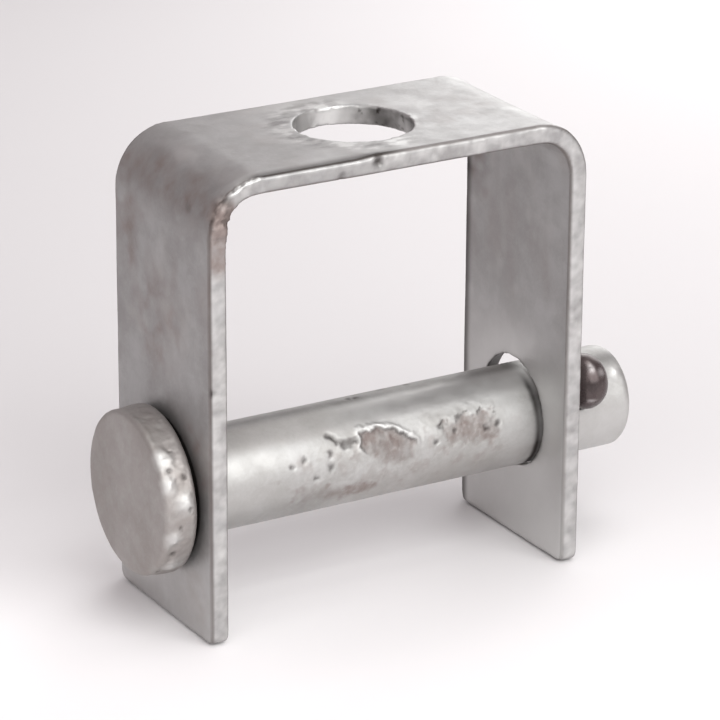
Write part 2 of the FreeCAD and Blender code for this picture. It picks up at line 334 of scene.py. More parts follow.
def strap_rings():
    """The bar's rings from the left leg's end to the right one's."""
    rings = []
    for (x, z), (out_x, out_z), bend in strap_path():
        side_cut = rounding(LEG_CORNER, z - LEG_END)
        face_cut = rounding(LEG_END_EDGE, z - LEG_END)
        section = bar_section(BAR_HALF - side_cut, BAR_THICK / 2 - face_cut, BAR_EDGE - face_cut / 2)
        ring = []
        for across, out in section:
            # Bending draws the outer side of the bar in and pushes the inner side out.
            edge = max(0, abs(across) - (BAR_HALF - FLARE_WIDTH)) / FLARE_WIDTH
            wide = across - math.copysign(FLARE * bend * edge ** 2 * out / (BAR_THICK / 2), across)
            lift = out + FLARE_LIFT * bend * edge ** 2
            ring.append((x + out_x * lift, wide, z + out_z * lift))
        rings.append(ring)
    return rings


# The top's front edge as it was sheared: left of the nick the lower part of the cut stands back,
# and the edge above it was drawn down.
NICK = (-4.4, -BAR_HALF, -1.0)
SECOND_NICK = (-10.4, -BAR_HALF, -2.3)
LEG_NICK = (-31.7, -BAR_HALF, -32.0)
SHEAR_START = -22.0
SHEAR_FADE = 1.5
SHEAR_DROP = 1.0
SHEAR_DEPTH = 0.12
EDGE_DROP = 0.4
# A narrow side and its edges lie within this of the bar's full width.
SIDE_REACH = 1.5

# Where the dip left dull zinc: round the left bend, in degrees from the top, and as (place, reach).
BEND_STAIN = 58
BEND_STAIN_WIDTH = 23
STAINS = [((-31.2, -8.5, -5.8), (2.4, 6.5, 2.2)), ((-32, 11, -14), (2.0, 6.5, 11.0)),
          ((29, 11, -14), (1.5, 6.0, 9.0)), ((-32, -9, -44), (1.5, 9, 10.0)),
          ((-32, 1, -27), (1.5, 11, 11.0)), ((-32, -9, -66), (1.5, 7, 6.0))]
# Other marks of the strap as (place, reach): a painted highlight on the left bend, a streak, a zinc
# lump, a smudge and a painted sheen on the top's back; and the radius of the painted shade behind the
# pin's head.
BEND_HIGHLIGHT = ((-27.3, 3.0, -1.2), (1.6, 13, 1.6))
DARK_STREAK = ((-31.3, -8.6, -5.6), (1.6, 3.6, 1.4))
ZINC_LUMP = ((-29.6, -14.8, -5.2), (3.2, 2.6, 5.6))
INNER_SMUDGE = ((29, 12, -13), (1.5, 5.0, 8.0))
BACK_SHEEN = ((-5, 12, 0), (14, 5.0, 3.0))
HEAD_SHADE = 11.5


def from_bend(points):
    """How far each place lies outwards of the nearer bend's centre and above it."""
    return np.abs(points[:, 0]) - BEND_X, points[:, 2] - BEND_Z


def outward(points, normals):
    """How squarely each place of the strap faces out of the clevis, -1 to 1."""
    out_x, out_z = np.clip(from_bend(points), 0, None)
    out_x = out_x * np.sign(points[:, 0])
    return (normals[:, 0] * out_x + normals[:, 2] * out_z) / np.maximum(np.hypot(out_x, out_z), 1e-6)


def side_of_bar(points, normals):
    """1 on the bar's two narrow sides."""
    return ramp(np.abs(normals[:, 1]), 0.55, 0.9) * (np.abs(points[:, 1]) > BAR_HALF - SIDE_REACH)


def long_edges(points, normals):
    """1 along the edges between the bar's broad faces and its narrow sides."""
    across = np.abs(normals[:, 1])
    near = np.abs(points[:, 1]) > BAR_HALF - SIDE_REACH
    return ramp(across, 0.12, 0.4) * (1 - ramp(across, 0.7, 0.9)) * near


def sheared(points, side):
    """How far the cut stands back along the top's two narrow sides."""
    x, y, z = points.T
    in_front = ramp(x, SHEAR_START - SHEAR_FADE, SHEAR_START) * (1 - ramp(x, NICK[0], NICK[0] + 0.5))
    behind = ramp(lumps(points * (1, 0, 0), 9, 2, 4), -0.1, 0.1)
    along = np.where(y < 0, in_front, behind * (np.abs(x) < -SHEAR_START))
    return SHEAR_DEPTH * along * side * ramp(-z, SHEAR_DROP - 0.2, SHEAR_DROP + 0.2)


def drawn_down(points, outwards):
    """1 on the top's front edge left of the nick, where shearing drew it down."""
    x, y, z = points.T
    along = ramp(z, -9, -3) * (1 - ramp(x, NICK[0] - 4, NICK[0]))
    return along * ramp(-y, BAR_HALF - 2.4, BAR_HALF - 0.2) * ramp(outwards, 0.1, 0.6)


def turn_round_bend(points):
    """Degrees round the nearer bend, from its start at the top to 90 at the leg."""
    return np.degrees(np.arctan2(*from_bend(points)))


def bend_bead(points):
    """A bead of zinc round the outer edge of the bends."""
    outside = np.hypot(*from_bend(points)) + BEND_Z + 0.5
    from_edge = np.hypot(outside, np.abs(points[:, 1]) - BAR_HALF + 0.3)
    turn = turn_round_bend(points)
    return ridge(from_edge, 0.55) * ramp(turn, -4, 6) * (1 - ramp(turn, 38, 55))


def strap_mesh():
    """The strap with its relief, its stains and dark marks, and its painted light and shade."""
    reach = 3 * BAR_THICK
    cutters = [leg_hole_cutter(), cylinder("bolt_hole", (0, 0, -reach), (0, 0, reach), BOLT_RADIUS)]
    mesh = carved("clevis_strap", tube("bar", strap_rings()), cutters, STRAP_VOXEL)
    points, normals = points_and_normals(mesh)
    x, y, z = points.T
    left, front = x < 0, y < 0
    broad = lumps(points, 13, 2, 1)
    fine = lumps(points, 1.7, 3, 2)
    grit = lumps(points, 0.8, 3, 14)
    mottle = lumps(points, 3.0, 4, 3)
    streaks = lumps(points * (0.45, 1, 1), 1.6, 3, 24)
    ragged = ruffled(points, 5, 2.0, 30)
    frayed = ruffled(points, 1.2, 0.4, 40)

    # How each place lies.
    side = side_of_bar(points, normals)
    edge = long_edges(points, normals)
    outwards = outward(points, normals)
    upwards = ramp(normals[:, 2], *FACING)
    outer_edge = edge * ramp(outwards, 0.1, 0.4)
    inner_edge = edge * ramp(-outwards, 0.1, 0.4)
    inner_right = ramp(-outwards, *FACING) * (x > INNER_HALF - 1)
    ends = 1 - ramp(z - LEG_END, 0, 4)
    bolt_gap = np.hypot(x, y) - BOLT_RADIUS
    bolt_wall = ridge(bolt_gap, 0.5) * wall(normals, 2)
    leg_gap = np.hypot(y - LEG_HOLE_SIDE, z - LEG_HOLE_DROP) - LEG_HOLE_RADIUS
    leg_wall = ridge(leg_gap - LEG_HOLE_TAPER / 2, 0.6) * wall(normals, 0)
    turn = turn_round_bend(ragged)

    # Marks that show in more than one way, such as the rubbed zinc left of the bolt hole.
    rubbed = ridge(bolt_gap - 1.8, 2.2) * (1 - ramp(x, 1, 6)) * upwards
    tan_side = side * left * front * ramp(ragged[:, 2], -15, -12) * ramp(turn, 32, 52)
    lump = blob(frayed, *ZINC_LUMP)
    bead = bend_bead(points)
    clumps = lumps(points, 1.3, 3, 16)
    cut = sheared(points, side)
    rough = np.clip(ridge(bolt_gap, 1.4) + 0.6 * ridge(leg_gap, 0.8) + 0.7 * side + ends, 0, 1)

    # Dull stains, and painted shade on the bar's rounded long edges.
    band = ridge(turn - BEND_STAIN, BEND_STAIN_WIDTH) * (x < -BEND_X)
    stain = band * (0.64 - 0.15 * ramp(y, -6, 10)) + 0.8 * sum(blob(ragged, *place) for place in STAINS)
    stain = np.clip(stain, 0, 1) * (0.75 + 0.85 * mottle) * (1 - side) + lump
    stain += 0.3 * ramp(lumps(points * (1, 1, 0.35), 6, 4, 21), 0.0, 0.9) * (1 - side)
    stain += 0.6 * outer_edge + 0.5 * inner_edge + tan_side * (0.9 + 0.6 * fine)

    # Relief, in millimetres.
    rise = 0.05 * broad + 0.010 * fine + 0.06 * rough * lumps(points, 2.4, 3, 15)
    rise += 0.05 * side * grit + 0.04 * np.clip(stain, 0, 1) * grit * (1 - edge)
    rise += bead * (0.08 + (0.10 + 0.25 * left * front) * ramp(clumps, -0.3, 0.5))
    rise += lump * (0.10 + 0.55 * lumps(points, 1.1, 3, 17)) + 0.10 * tan_side * grit
    rise -= cut + EDGE_DROP * drawn_down(points, outwards)
    rise -= 0.45 * blob(frayed, NICK, (1.2, 1.2, 1.5))
    rise -= 0.25 * blob(frayed, SECOND_NICK, (0.9, 1.2, 1.0))
    rise -= 0.40 * blob(frayed, LEG_NICK, (1.1, 1.1, 0.9))

    # Bright zinc and painted light: pale zinc on the bends' bead, random pale patches and rubbed zinc.
    # Painted light on the narrow sides, less of it near the top; a painted highlight on the left bend
    # and a painted sheen on the top's back.
    bright = side * (0.38 - 0.2 * ramp(z, -6, -3) + 0.55 * fine) * (1 - 0.5 * edge)
    bright += 0.6 * bead * (1 - ramp(x, 8, 14)) + 0.45 * blob(ragged, *BACK_SHEEN) * upwards
    bright += 0.35 * blob(ragged, *BEND_HIGHLIGHT) + 0.2 * ramp(lumps(points, 8, 3, 18), 0.1, 0.8)
    # Painted light: the top, more so to the right, the legs' lower ends and the right leg's inner face,
    # most low down and round its hole.
    bright += ramp(z, -2, -0.5) * (0.22 + 0.08 * ramp(x, -8, 24))
    bright += 0.45 * (1 - ramp(z - LEG_END, 3, 18)) * (1 - side)
    bright += inner_right * (0.10 + 0.42 * ramp(-z, 28, 46) + 0.4 * ridge(leg_gap - 1.5, 4))
    bright *= (1 - 0.8 * lump) * (1 - 0.85 * np.clip(tan_side, 0, 1))
    # Painted light on the bolt hole's wall and on the front of the leg holes' walls; a patchy pale ring
    # round the bolt hole's rim.
    bright += 0.7 * bolt_wall + 0.4 * ridge(bolt_gap - 0.7, 0.7) * ramp(mottle, 0.0, 0.6)
    bright += 0.5 * leg_wall * (1 - ramp(y, 1.0, 3.0)) + 0.7 * rubbed * ramp(streaks, 0.05, 0.4)

    # Dark marks and painted shade.
    # Painted shade on the left leg under the pin's head.
    from_head = np.hypot(y, z - PIN_AXIS - HEAD_OFF_CENTRE)
    under_head = (x < -INNER_HALF) * (1 - ramp(from_head, HEAD_SHADE - 0.3, HEAD_SHADE + 0.1))
    wall_ends = ramp(-x, 4.0, 6.5) + ramp(x, 1.5, 4.5)
    wall_spots = ramp(lumps(points, 1.4, 3, 19), 0.35, 0.7)
    # Painted shade along the top's front edge, from the left bend to about the nick; the sheared cut
    # darker where it stands back.
    front_line = ridge(y + BAR_HALF - 0.8, 0.7) * upwards * ramp(x, -27, -23) * (1 - ramp(x, -4, 2))
    dark = 0.12 * ramp(cut, 0, SHEAR_DEPTH) * (1 + fine) + under_head
    # Painted shade in the back of the leg holes' walls; a smudge, a streak and streaks of rubbed zinc;
    # the right leg's inner face darker along its back edge.
    dark += leg_wall * (0.2 + 0.6 * ramp(y, 1.5, 3.5)) + 0.65 * front_line
    dark += 0.35 * blob(ragged, *INNER_SMUDGE) + 0.3 * blob(ragged, *DARK_STREAK)
    dark += 0.8 * inner_right * ramp(y, BAR_HALF - 2.6, BAR_HALF - 0.8)
    dark += 0.4 * rubbed * ramp(-streaks, 0.05, 0.4)
    # Painted shade towards the sides of the bolt hole's wall, with random dark spots; the nicks and the
    # legs' ends darker.
    dark += bolt_wall * (0.7 * wall_ends * (0.8 + 0.5 * mottle) + 0.4 * wall_spots)
    dark += 0.9 * blob(frayed, NICK, (1.4, 1.8, 1.7)) + 0.5 * blob(frayed, SECOND_NICK, (1.1, 1.6, 1.1))
    dark += 0.6 * blob(frayed, LEG_NICK, (1.3, 1.6, 1.0)) + 0.5 * ridge(z - LEG_END, 0.5)
    # Painted shade on the bar's rounded long edges, and dark spots on the lumps and the left bead.
    dark += 0.45 * outer_edge + 0.35 * inner_edge
    dark += (0.5 * lump + 0.5 * bead * left) * ramp(-clumps, 0.0, 0.4)

    points = points + normals * rise[:, None]
    spread = np.where(left, -LEFT_SPREAD, RIGHT_SPREAD)
    points[:, 0] += spread * ramp(np.abs(x), BOLT_RADIUS, BEND_X)
    move_points(mesh, points)
    return marked(mesh, stain=stain, bright=bright, dark=dark)


# Pin.

def arc_points(centre, radius, first, last, count):
    """Points on an arc, its angles in degrees."""
    turns = [math.radians(first + (last - first) * step / count) for step in range(count + 1)]
    return [(centre[0] + radius * math.cos(t), centre[1] + radius * math.sin(t)) for t in turns]


def pin_profile():
    """Half outline of the pin (x, radius) from the middle of the head's face to the pin's end."""
    face = HEAD_RADIUS - HEAD_TAPER
    rim = face - HEAD_RIM
    fillet = PIN_RADIUS + HEAD_FILLET
    outline = [(HEAD_FACE, POLE_RADIUS)]
    outline += [(HEAD_FACE + HEAD_CROWN * (r / face) ** 3, r) for r in np.arange(1, rim, 1)]
    outline += arc_points((HEAD_FACE + HEAD_CROWN + HEAD_RIM, rim), HEAD_RIM, 180, 92, 8)
    outline += arc_points((HEAD_SEAT - HEAD_HEEL, HEAD_RADIUS - HEAD_HEEL), HEAD_HEEL, 90, 0, 8)
    outline += arc_points((HEAD_SEAT + HEAD_FILLET, fillet), HEAD_FILLET, 180, 270, 5)
    outline += [(x, PIN_RADIUS) for x in np.arange(HEAD_SEAT + 2 * HEAD_FILLET, SHANK_END, SHANK_STEP)]
    outline += arc_points((PIN_END - END_ROUNDING, PIN_RADIUS - END_ROUNDING), END_ROUNDING, 90, 0, 8)
    outline += [(PIN_END, POLE_RADIUS)]
    return outline


def from_pin_axis(points):
    """Distance from the pin's axis and angle from upright towards the front, in degrees."""
    y, z = points[:, 1], points[:, 2] - PIN_AXIS
    return np.hypot(y, z), np.degrees(np.arctan2(-y, z))


def inside(x, angle, corners):
    """How many millimetres a place on the shank lies inside a convex patch, below 0 beyond it."""
    arc = PIN_RADIUS * math.pi / 180
    depth = np.full(len(x), np.inf)
    for (x0, a0), (x1, a1) in zip(corners, corners[1:] + corners[:1]):
        along = Vector((x1 - x0, (a1 - a0) * arc)).normalized()
        depth = np.minimum(depth, along.x * (angle - a0) * arc - along.y * (x - x0))
    return depth


# Where the coating has flaked off the shank, its corners as (x, degrees from upright).
MAIN_FLAKE = [(-2.4, 50), (1.4, 48), (3.6, 53), (7.0, 70), (7.2, 93), (4.8, 99), (-0.2, 91), (-2.9, 66)]
RIGHT_FLAKE = [(11.0, 58), (17.2, 46), (20.9, 53), (23.6, 72), (22.4, 88), (17.3, 96), (12.2, 86)]
LOW_FLAKE = [(-15.5, 95), (-10.6, 98), (-3.0, 108), (0.5, 117), (-5.5, 127), (-13.5, 120)]
ROUGH_SIDE = [(-17, 60), (-9, 44), (4, 36), (20, 38), (26, 60), (25, 115), (0, 130), (-15, 125)]
# Pits in the coating, as (x, degrees from upright, radius), and how much wider they are drawn.
PITS = [(-7.5, 46, 0.8), (-6.8, 49, 0.7), (-6.2, 54, 0.7), (-5.2, 58, 0.9), (-4.1, 59, 0.9),
        (-3.1, 57, 0.8), (-7.9, 66, 0.7), (-8.2, 81, 0.8), (-12.5, 67, 0.7), (-14.8, 72, 0.5),
        (19.7, 75, 0.6), (21.8, 72, 0.7), (11.8, 62, 0.6), (10.6, 78, 0.6), (14.0, 70, 0.5),
        (-10.8, 90, 0.5)]
PIT_GROWTH = 1.2
# Dents along the top of the shank, as (x, degrees from upright), and their radius.
TOP_DENTS = [(-0.3, -6), (0.9, -4), (6.2, -15), (10.6, -14)]
DENT_RADIUS = 0.9
# A drip of zinc that set on the pin's end, with a painted highlight on it.
END_DRIP_HIGHLIGHT = (44.9, -5.3, -46.2)
# The lumps and pits of the head's side, as (degrees from upright, share of the way back, radius).
RIM_LUMPS = [(48, 0.20, 2.4), (66, 0.15, 2.4), (80, 0.60, 2.6), (104, 0.25, 2.2), (132, 0.5, 2.4),
             (205, 0.4, 2.6), (300, 0.4, 2.6)]
RIM_PITS = [(43, 0.55, 0.6), (56, 0.35, 0.5), (62, 0.70, 0.7), (84, 0.75, 0.6), (97, 0.45, 0.7),
            (119, 0.35, 0.8), (141, 0.2, 0.6), (210, 0.5, 0.6), (262, 0.4, 0.7), (318, 0.6, 0.6)]


def on_shank(x, angle):
    """A place on the shank, its angle in degrees from upright."""
    turn = math.radians(angle)
    return x, -PIN_RADIUS * math.sin(turn), PIN_AXIS + PIN_RADIUS * math.cos(turn)


def on_rim(turn, back):
    """A place on the head's side, back from its face by a share of its thickness."""
    turn = math.radians(turn)
    y, z = -HEAD_RADIUS * math.sin(turn), PIN_AXIS + HEAD_RADIUS * math.cos(turn)
    return HEAD_FACE + back * HEAD_THICK, y, z


def rim_blobs(points, places):
    """1 in the middle of each place on the head's side."""
    return sum(blob(points, on_rim(turn, back), size) for turn, back, size in places)


def pin_mesh():
    """The pin with its relief, its stains and dark marks, and its painted light and shade."""
    turns = full_turn(PIN_SIDES)
    rings = [[(x, r * math.sin(t), PIN_AXIS + r * math.cos(t)) for t in turns] for x, r in pin_profile()]
    reach = COTTER_AXIS * CROSS_HOLE_REACH
    cross = cylinder("cross_hole", COTTER_MIDDLE - reach, COTTER_MIDDLE + reach, CROSS_HOLE_RADIUS)
    mesh = carved("clevis_pin", tube("turned", rings), [cross], PIN_VOXEL)
    points, normals = points_and_normals(mesh)
    x = points[:, 0]
    radius, angle = from_pin_axis(points)
    broad = lumps(points, 6, 2, 5)
    middling = lumps(points, 2.2, 4, 7)
    fine = lumps(points, 1.3, 3, 6)
    grit = lumps(points, 0.7, 3, 8)
    streaky = lumps(points * (1, 0.4, 0.4), 1.1, 3, 9)
    frayed = ruffled(points, 0.9, 0.35, 50)

    # Parts of the pin.
    head = 1 - ramp(x, HEAD_SEAT - 0.2, HEAD_SEAT + 1)
    back = (x - HEAD_FACE) / HEAD_THICK
    rim = head * ramp(radius, HEAD_RADIUS - 2.2, HEAD_RADIUS - 1.0)
    middle_rim = rim * ramp(back, 0.08, 0.3) * (1 - ramp(back, 0.8, 0.95))
    shank = (1 - head) * (x < SHANK_END)
    between_legs = shank * (x < INNER_HALF + 1)
    end_side = ramp(x, OUTER_HALF - 1, OUTER_HALF + 1) * (radius > PIN_RADIUS - 2)

    # Flakes and pits in the coating.
    above = 1 - ramp(angle, 64, 82)
    rough = ramp(inside(x, angle, ROUGH_SIDE) + 3 * middling, 0.0, 5.0) * shank
    main = inside(x, angle, MAIN_FLAKE) + 0.55 * fine + 0.15 * grit
    right = inside(x, angle, RIGHT_FLAKE) + 1.5 * middling
    low = inside(x, angle, LOW_FLAKE) + 1.6 * middling
    main_cut = above * ramp(main, 0.0, 0.35) + (1 - above) * 0.7 * ramp(main, 0.0, 1.6)
    right_cut = 0.6 * ramp(right, 0.0, 1.2)
    low_cut = 0.45 * ramp(low, -0.6, 1.4)
    flaked = np.maximum(np.maximum(main_cut, right_cut), low_cut) * shank
    right_lip = 0.2 * ridge(right, 0.4) * (1 - ramp(angle, 55, 70))
    lip = (ridge(main + 0.35, 0.35) * above + right_lip) * shank
    pits = sum(blob(frayed, on_shank(x0, a0), PIT_GROWTH * size) for x0, a0, size in PITS)
    dents = sum(blob(frayed, on_shank(*dent), DENT_RADIUS) for dent in TOP_DENTS)
    swells = rim_blobs(frayed, RIM_LUMPS)
    holes = rim_blobs(frayed, RIM_PITS)

    # Relief, in millimetres.
    rise = 0.02 * broad * shank + 0.008 * fine + 0.035 * rough * fine + 0.020 * rough * grit
    rise += 0.3 * blob(points, END_DRIP_HIGHLIGHT, 1.5)
    rise += 0.13 * lip - flaked * (0.16 + 0.07 * grit + 0.05 * streaky) - 0.25 * pits - 0.12 * dents
    rise += head * (0.03 * lumps(points, 6, 2, 11) + 0.010 * fine + 0.008 * grit)
    rise += middle_rim * (0.12 * lumps(points, 2.6, 3, 13) + 0.07 * fine + 0.38 * swells - 0.10)
    rise += 0.03 * rim * middling - 0.28 * holes * head
    points = points + normals * rise[:, None]
    points[:, 2] += HEAD_OFF_CENTRE * head
    lean = END_LEAN * (points[:, 2] - PIN_AXIS) / PIN_RADIUS
    points[:, 0] += lean * ramp(x, PIN_END - 1.5, PIN_END - 0.3)
    move_points(mesh, points)

    # Dull stains, and painted shade along the top between the legs, left of the middle.
    top_band = between_legs * (1 - ramp(np.abs(angle - 26), 12, 25))
    low_band = between_legs * ramp(angle, 96, 110) * ramp(x, -10, -2)
    stain = flaked * (0.8 + 0.5 * streaky) + 0.3 * rough * ramp(middling, 0.0, 0.5) + 0.45 * head
    stain += 0.25 * top_band * (1 - ramp(x, -12, 0)) + 0.25 * low_band * (0.7 + 0.5 * middling)

    # Painted light and highlights, and pale grit on the rough side.
    by_head = shank * (1 - ramp(x, -24, -14)) * (1 - rough) * (1 - top_band)
    head_glow = between_legs * ridge(angle - 52, 14) * (1 - ramp(x, -20, -10))
    # Painted highlights on the flakes' upper lips, the swells of the head's side and the shank at about
    # 52 degrees near the head.
    bright = 0.7 * lip + 0.18 * rough * ramp(grit, 0.15, 0.5) + 0.9 * swells * rim + 0.3 * head_glow
    # A painted highlight on the shank by the head, and painted light along the top between the legs,
    # more so to the right.
    bright += 0.25 * by_head + top_band * (0.1 + 0.75 * ramp(x, -14, 10))
    # Painted light on the lower front of the shank and on the pin's end beyond the right leg.
    bright += 0.12 * shank * ramp(angle, 80, 110) * (1 - flaked)
    bright += end_side * (0.45 * ramp(angle, 60, 90) + 0.3 * (1 - ramp(np.abs(angle + 20), 10, 26)))
    # A painted highlight on the drip of zinc on the pin's end.
    bright += 1.1 * blob(points, END_DRIP_HIGHLIGHT, 1.3)

    # Dark marks and painted shade.
    # Painted shade along the top between the legs, along the underside left of the middle and over the
    # front right of the middle.
    top_line = between_legs * ridge(angle, 10) * (1 - 0.4 * ramp(x, 2, 14))
    underside = between_legs * ramp(angle, 96, 124) * (1 - ramp(x, -12, -4))
    front_line = between_legs * ramp(x, 8, 18) * ridge(angle - 58, 22)
    # Painted shade on the shank's front where it passes into the right leg's hole, darkest low down.
    by_hole = shank * ramp(angle, 10, 40) * (1 - ramp(angle, 140, 165)) * (x < OUTER_HALF)
    hole_ring = (0.7 + 0.3 * ramp(angle, 88, 112)) * ridge(x - INNER_HALF - RIGHT_SPREAD + 0.3, 0.55)
    hole_haze = 0.12 * ramp(x, INNER_HALF - 3, INNER_HALF - 0.5) * (0.6 + middling)
    # Painted shade under the main flake's upper lip; darker dashes along the right flake's upper edge.
    main_line = (0.3 + 0.35 * ramp(x, 0, 5)) * ridge(main - 0.15, 0.3) * above
    right_line = ridge(right - 0.4, 0.35) * (1 - ramp(angle, 58, 70)) * ramp(fine, -0.1, 0.3)
    dark = 0.75 * pits + 0.75 * holes * head + 0.5 * dents + 0.12 * flaked
    dark += 0.5 * top_line + 0.2 * underside + 0.12 * front_line
    # A darker band on the pin's end above the cotter.
    dark += 0.45 * end_side * ridge(angle - 22, 10)
    dark += by_hole * (hole_ring + hole_haze)
    dark += (main_line + 0.15 * main_cut + 0.6 * right_line) * shank
    # Painted shade on the back of the head, facing the leg.
    dark += 0.8 * head * ramp(back, 0.95, 1.02)
    return marked(mesh, stain=stain, bright=bright, dark=dark)


# Cotter.

def cotter_reach():
    """How far the cotter's eye and its long leg reach along its axis from the middle of the pin."""
    vertices = frame["nodes"]["cotter_pin"].data.vertices
    along = [(vertex.co / MM - COTTER_MIDDLE).dot(COTTER_AXIS) for vertex in vertices]
    return max(along), min(along)


def wire_section():
    """Points (across, outwards) round the half-round wire, its flat side on the across axis."""
    first = math.asin(WIRE_EDGE / (WIRE_RADIUS - WIRE_EDGE))
    across = (WIRE_RADIUS - WIRE_EDGE) * math.cos(first)
    first = math.degrees(first)
    outline = arc_points((0, 0), WIRE_RADIUS, first, 180 - first, 28)
    outline += arc_points((-across, WIRE_EDGE), WIRE_EDGE, 180 - first, 270, 4)[1:]
    outline += [(x, 0) for x in np.linspace(-across, across, 10)[1:]]
    outline += arc_points((across, WIRE_EDGE), WIRE_EDGE, -90, first, 4)[1:-1]
    return outline


def wire_turn(centre, radius, turns, side):
    """Places round a turn of the wire, whose outer side is away from the centre (1) or to it (-1)."""
    return [((centre[0] + radius * math.cos(t), centre[1] + radius * math.sin(t)),
             (side * math.cos(t), side * math.sin(t))) for t in turns]


def wire_path():
    """Places on the wire's flat side, (across the legs, along them), each with its outward direction."""
    eye_tip, long_end = cotter_reach()
    eye_radius = EYE_OPENING / 2
    half_slit = COTTER_SLIT / 2
    neck_radius = WIRE_RADIUS + NECK_CREASE
    eye_along = eye_tip - eye_radius - WIRE_RADIUS
    neck_across = half_slit + neck_radius
    rise = math.sqrt((eye_radius + neck_radius) ** 2 - neck_across ** 2)
    neck_along = eye_along - rise
    lean = math.atan2(rise, neck_across)
    short_end = long_end + SHORT_LEG_STEP

    first_neck, last_neck = np.linspace(0, lean, 14), np.linspace(math.pi - lean, math.pi, 14)
    eye = np.linspace(math.pi + lean, -lean, 48)[1:-1]
    places = [((-half_slit, along), (-1, 0)) for along in np.arange(long_end, neck_along, COTTER_STEP)]
    places += wire_turn((-neck_across, neck_along), neck_radius, first_neck, -1)
    places += wire_turn((0, eye_along), eye_radius, eye, 1)
    places += wire_turn((neck_across, neck_along), neck_radius, last_neck, -1)
    places += [((half_slit, along), (1, 0))
               for along in np.arange(neck_along - COTTER_STEP, short_end, -COTTER_STEP)]
    return places


# Painted highlights on the eye, and a spot of painted shade, as (place, reach).
GLEAMS = [((36.9, -10.6, -42.5), (0.9, 1.2, 1.2)), ((38.4, -11.1, -43.3), (1.1, 1.2, 1.0)),
          ((36.4, -11.6, -47.6), (1.3, 1.0, 0.5))]
SHADED_SPOT = ((36.7, -11.4, -45.2), (2.0, 1.6, 1.6))


def cotter_mesh():
    """The cotter with its painted highlights and painted shade."""
    places = wire_path()
    section = np.array(wire_section())
    middle = np.array((0, WIRE_MIDDLE))
    rings = []
    for index, ((across, along), (out_across, out_along)) in enumerate(places):
        to_end = min(index, len(places) - 1 - index) * COTTER_STEP
        ring = []
        for x, out in middle + (section - middle) * (1 - rounding(WIRE_END, to_end) / WIRE_RADIUS):
            place = (COTTER_MIDDLE + Vector((x, 0, 0)) + COTTER_ACROSS * (across + out_across * out)
                     + COTTER_AXIS * (along + out_along * out))
            ring.append(tuple(place))
        rings.append(ring)
    mesh = tube("cotter_pin", rings[::-1])
    points, normals = points_and_normals(mesh)
    rise = 0.015 * lumps(points, 3, 2, 12)
    radius, _ = from_pin_axis(points)
    # Painted shade where the wire sits in the pin's hole.
    in_hole = 1 - ramp(radius, PIN_RADIUS + 0.3, PIN_RADIUS + 1.6)
    dark = 0.8 * in_hole + 0.6 * blob(points, *SHADED_SPOT)
    bright = sum(blob(points, *gleam) for gleam in GLEAMS)
    move_points(mesh, points + normals * rise[:, None])
    return marked(mesh, bright=bright, dark=dark)


# Materials.

